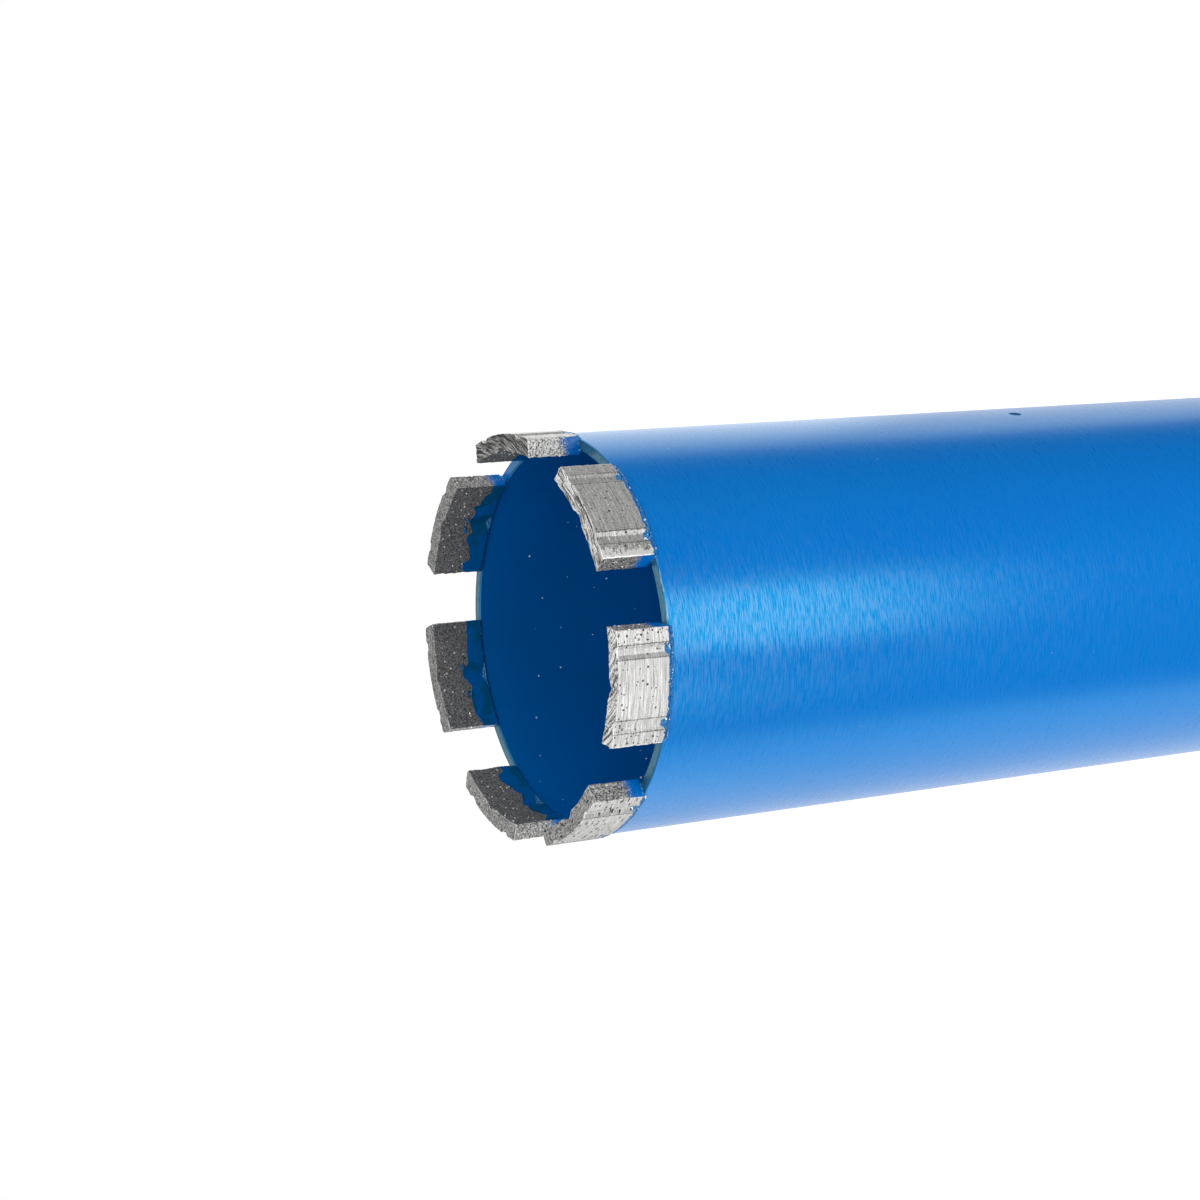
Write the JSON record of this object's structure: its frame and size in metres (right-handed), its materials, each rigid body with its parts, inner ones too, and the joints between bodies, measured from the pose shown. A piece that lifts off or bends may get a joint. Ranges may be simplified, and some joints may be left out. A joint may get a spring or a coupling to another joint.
{
  "type": "diamond core bit",
  "caption": "Tube-shaped wet core bit with grooved diamond segments brazed round its open end and a threaded hub at the other.",
  "frame": {"origin": "centre of the hub's end face, which the bit stands on", "axes": "+Z along the bit's axis, from the hub to the crown; -Y through the middle of segment_3"},
  "size_m": [0.082, 0.0816, 0.45],
  "materials": {
    "blue_paint": "satin blue lacquer over turned steel",
    "painted_braze": "lumpy silver braze under blue lacquer",
    "diamond_segment": "sintered metal with diamond grit, ground round the outside, pitted",
    "hub_finish": "satin blue lacquer, bare steel at the thread and the end face"
  },
  "bodies": {
    "root": {"tube": "blue_paint", "end_plate": "blue_paint", "tube_weld": "blue_paint", "hub": "hub_finish", "hub_weld": "blue_paint", "segment_1": "diamond_segment", "segment_2": "diamond_segment", "segment_3": "diamond_segment", "segment_4": "diamond_segment", "segment_5": "diamond_segment", "segment_6": "diamond_segment", "segment_7": "diamond_segment", "braze_seam_1": "painted_braze", "braze_seam_2": "painted_braze", "braze_seam_3": "painted_braze", "braze_seam_4": "painted_braze", "braze_seam_5": "painted_braze", "braze_seam_6": "painted_braze", "braze_seam_7": "painted_braze"}
  },
  "joints": []
}
